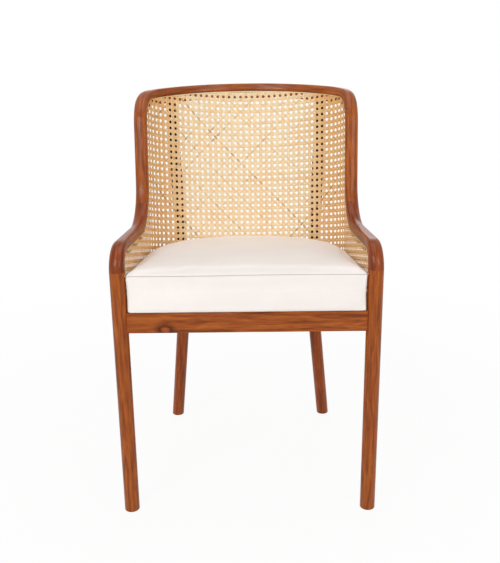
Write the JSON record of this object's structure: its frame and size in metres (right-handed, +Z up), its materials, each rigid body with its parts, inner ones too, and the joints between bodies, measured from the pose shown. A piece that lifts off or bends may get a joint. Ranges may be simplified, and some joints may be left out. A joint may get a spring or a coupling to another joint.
{
  "type": "cane-back dining armchair",
  "caption": "Dining armchair with a barrel back of woven cane in a bent wooden frame, low sweeping arms, round legs and a boxed fabric seat cushion.",
  "frame": {"origin": "on the floor, in the middle of the chair's footprint", "axes": "+Z up, the chair faces -Y, +X to the right hand of someone looking at its front"},
  "size_m": [0.5044, 0.4858, 0.8302],
  "materials": {
    "leg_wood": "orange-brown hardwood under a satin lacquer",
    "arm_wood": "redder and darker hardwood under a satin lacquer",
    "plain_wood": "unfinished pale wood",
    "cane": "natural cane, slightly glossy on its outer skin",
    "seat_fabric": "plain off-white upholstery cloth",
    "foam": "upholstery foam",
    "screw_steel": "zinc-plated steel"
  },
  "bodies": {
    "root": {"front_leg_left": "leg_wood", "front_leg_right": "leg_wood", "rear_leg_left": "leg_wood", "rear_leg_right": "leg_wood", "side_post_left": "leg_wood", "side_post_right": "leg_wood", "arm_left": "arm_wood", "arm_right": "arm_wood", "crest_rail": "arm_wood", "front_rail": "leg_wood", "side_rail_left": "leg_wood", "side_rail_right": "leg_wood", "rear_rail": "leg_wood", "front_block_left": "plain_wood", "front_block_right": "plain_wood", "rear_block_left": "plain_wood", "rear_block_right": "plain_wood", "frame_dowels": "plain_wood", "rail_dowels": "plain_wood", "seat_board": "plain_wood", "cane_panel": "cane", "frame_spline": "cane", "seat_spline": "cane", "seat_cover": "seat_fabric", "seat_foam": "foam", "block_screws": "screw_steel", "seat_screws": "screw_steel"}
  },
  "joints": []
}
